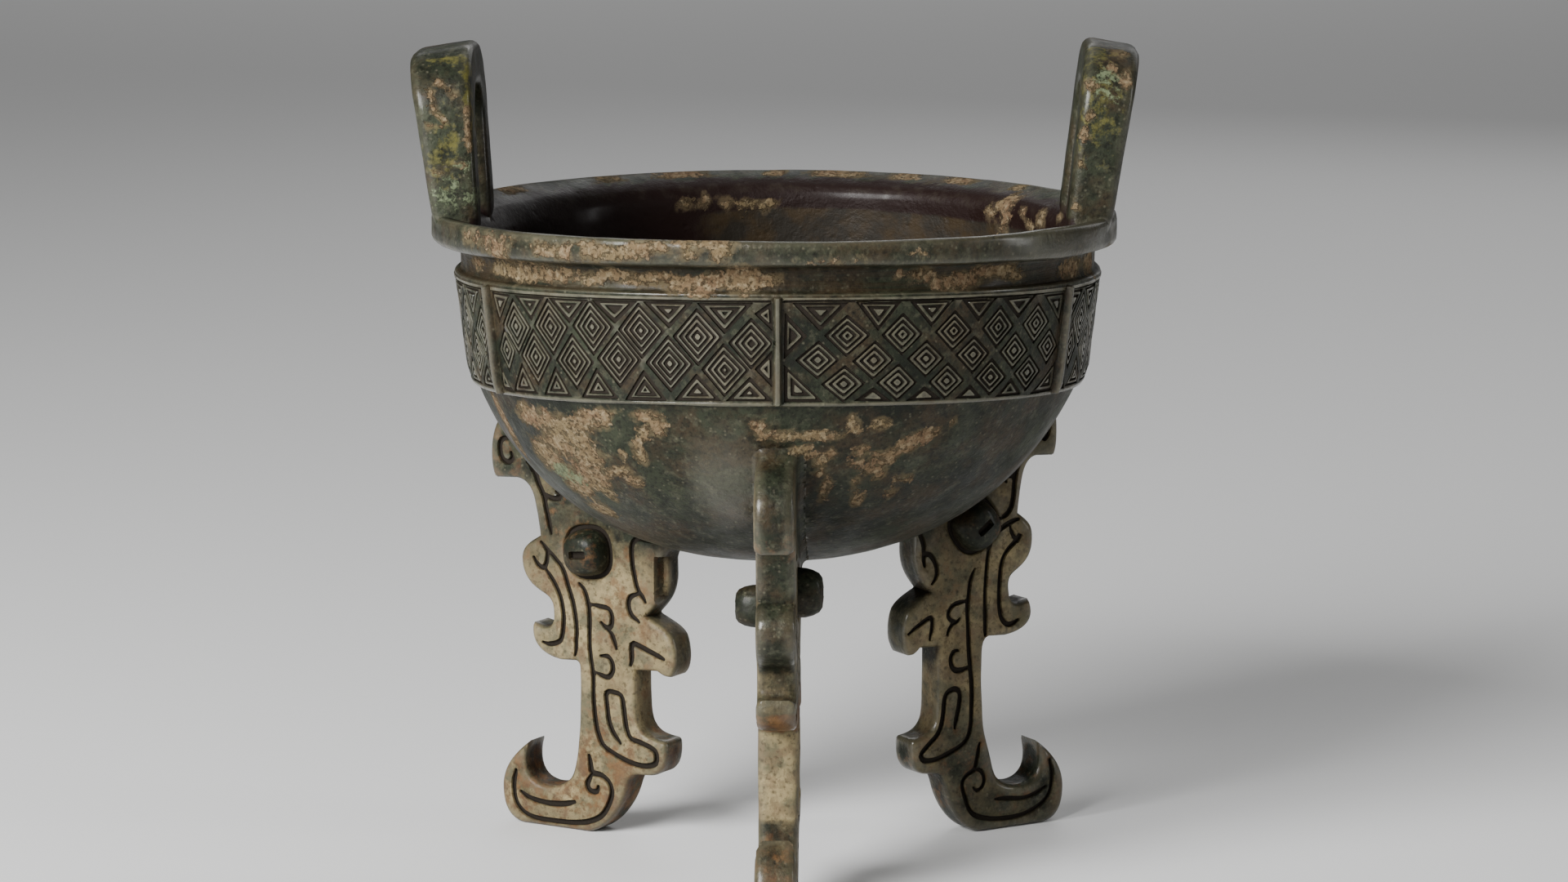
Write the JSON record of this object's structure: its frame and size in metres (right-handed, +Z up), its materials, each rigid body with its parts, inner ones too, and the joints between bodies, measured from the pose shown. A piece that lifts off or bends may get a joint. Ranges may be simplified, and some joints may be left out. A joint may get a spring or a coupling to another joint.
{
  "type": "bronze ding vessel",
  "caption": "Cast bronze ding: a round bowl with upright loop handles on its flat lip, a band of lozenges, and flat legs carved as dragons.",
  "frame": {"origin": "on the floor under the middle of the bowl, between the three feet", "axes": "+Z up; the front leg points to -Y; the two handles stand at +X and -X"},
  "size_m": [0.1738, 0.1652, 0.2011],
  "materials": {
    "bronze": "old bronze with green, brown and pale earthen patina, matt with worn edges"
  },
  "bodies": {
    "root": {"ding_vessel": "bronze"}
  },
  "joints": []
}
